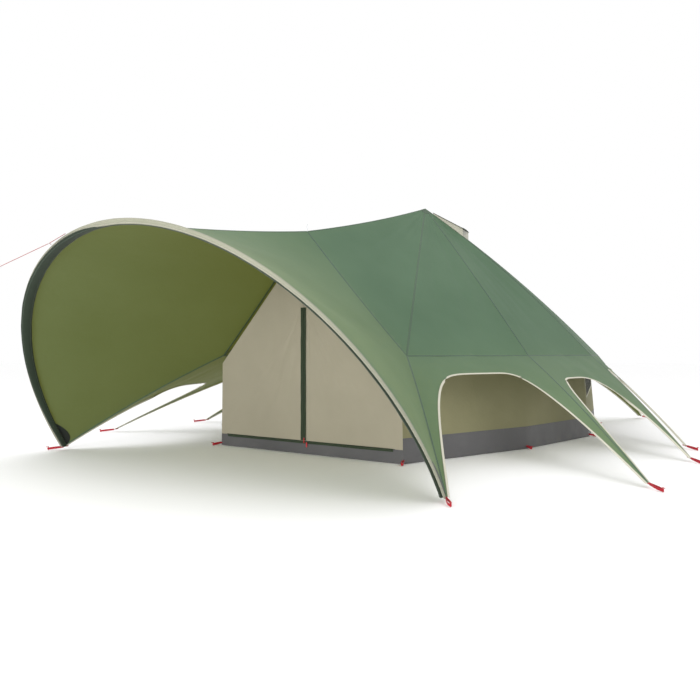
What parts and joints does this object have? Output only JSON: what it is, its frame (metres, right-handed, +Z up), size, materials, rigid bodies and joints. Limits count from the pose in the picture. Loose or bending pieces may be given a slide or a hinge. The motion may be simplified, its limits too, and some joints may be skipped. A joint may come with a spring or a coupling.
{
  "type": "tipi family tent",
  "caption": "Tipi family tent: a green flysheet with a hooped awning and arched sides over a beige inner tent with a grey groundsheet and a zipped door.",
  "frame": {"origin": "middle of the footprint on the ground, with the pegs and the awning's hoop counted and the guy line left out", "axes": "+Z up; -Y towards the open mouth of the awning; +X the side with the roof vent, which is the side seen from outside"},
  "size_m": [6.161, 7.8657, 2.603],
  "materials": {
    "fly_green": "matte coated polyester",
    "awning_green": "matte coated polyester",
    "trim_offwhite": "woven binding tape",
    "sleeve_dark": "woven tape",
    "inner_beige": "breathable polyester",
    "mesh_dark": "fine net",
    "mesh_pale": "fine net",
    "floor_grey": "coated polyethylene",
    "zip_dark": "coil zip on tape",
    "slider_dark": "satin",
    "red_webbing": "flat webbing",
    "red_plastic": "moulded",
    "peg_steel": "satin enamel",
    "pole_steel": "zinc plated",
    "rod_fibre": "pultruded glass fibre",
    "foot_black": "moulded",
    "cord_pale": "braided cord"
  },
  "bodies": {
    "tent": {"arch_piping": "trim_offwhite", "awning_far": "awning_green", "awning_near": "awning_green", "awning_piping": "trim_offwhite", "fly_back": "fly_green", "fly_front_far": "fly_green", "fly_front_near": "fly_green", "fly_side_1_far": "fly_green", "fly_side_1_near": "fly_green", "fly_side_2_far": "fly_green", "fly_side_2_near": "fly_green", "fly_side_3_far": "fly_green", "fly_side_3_near": "fly_green", "groundsheet": "floor_grey", "guy_bridle": "cord_pale", "guy_line": "cord_pale", "guy_ring": "pole_steel", "hoop_ferrules": "pole_steel", "hoop_sections": "rod_fibre", "hoop_sleeve": "sleeve_dark", "inner_back_wall": "inner_beige", "inner_front_wall": "inner_beige", "inner_roof_far": "inner_beige", "inner_roof_near": "inner_beige", "inner_walls_far": "inner_beige", "inner_walls_near": "inner_beige", "main_pole_section_1": "pole_steel", "main_pole_section_2": "pole_steel", "main_pole_section_3": "pole_steel", "main_pole_top": "pole_steel", "peak_patch": "fly_green", "peg_loops": "red_webbing", "pegs": "peg_steel", "pole_feet": "foot_black", "pole_spigots": "pole_steel", "porch_pole_section_1": "pole_steel", "porch_pole_section_2": "pole_steel", "porch_pole_top": "pole_steel", "sill_zip": "zip_dark", "skirt_1_far": "fly_green", "skirt_1_near": "fly_green", "skirt_2_far": "fly_green", "skirt_2_near": "fly_green", "skirt_3_far": "fly_green", "skirt_3_near": "fly_green", "skirt_4_far": "fly_green", "skirt_4_near": "fly_green", "skirt_back": "fly_green", "vent_mesh": "mesh_pale", "window_mesh": "mesh_dark"},
    "leaf_near": {"door_leaf_near": "inner_beige", "door_zip_near": "zip_dark"},
    "leaf_far": {"door_leaf_far": "inner_beige", "door_zip_far": "zip_dark"},
    "door_zip_slider": {"door_slider": "slider_dark", "door_pull": "red_plastic"},
    "sill_zip_slider": {"sill_slider": "slider_dark", "sill_pull": "red_plastic"},
    "vent_flap": {"vent_hood": "fly_green"},
    "line_tensioner": {"guy_runner": "red_plastic"}
  },
  "joints": [
    {"name": "leaf_near_fold", "type": "hinge", "parent": "tent", "child": "leaf_near", "pos_m": [0.48974, -1.732, 0.74334], "axis": [-0.6162, 0, 0.7876], "range_deg": [0, 110]},
    {"name": "leaf_far_fold", "type": "hinge", "parent": "tent", "child": "leaf_far", "pos_m": [-0.48974, -1.732, 0.74334], "axis": [0.6162, 0, 0.7876], "range_deg": [-110, 0]},
    {"name": "door_zip_slide", "type": "slide", "parent": "leaf_near", "child": "door_zip_slider", "axis": [0, 0, 1], "range_m": [0, 1.12]},
    {"name": "sill_zip_slide", "type": "slide", "parent": "tent", "child": "sill_zip_slider", "axis": [1, 0, 0], "range_m": [0, 0.89]},
    {"name": "vent_flap_hinge", "type": "hinge", "parent": "tent", "child": "vent_flap", "pos_m": [0.07875, 0.54375, 2.54465], "axis": [-0.2337, 0.9723, 0], "range_deg": [-12, 7]},
    {"name": "tensioner_slide", "type": "slide", "parent": "tent", "child": "line_tensioner", "axis": [0.9174, 0.2548, 0.3058], "range_m": [0, 0.4]}
  ]
}
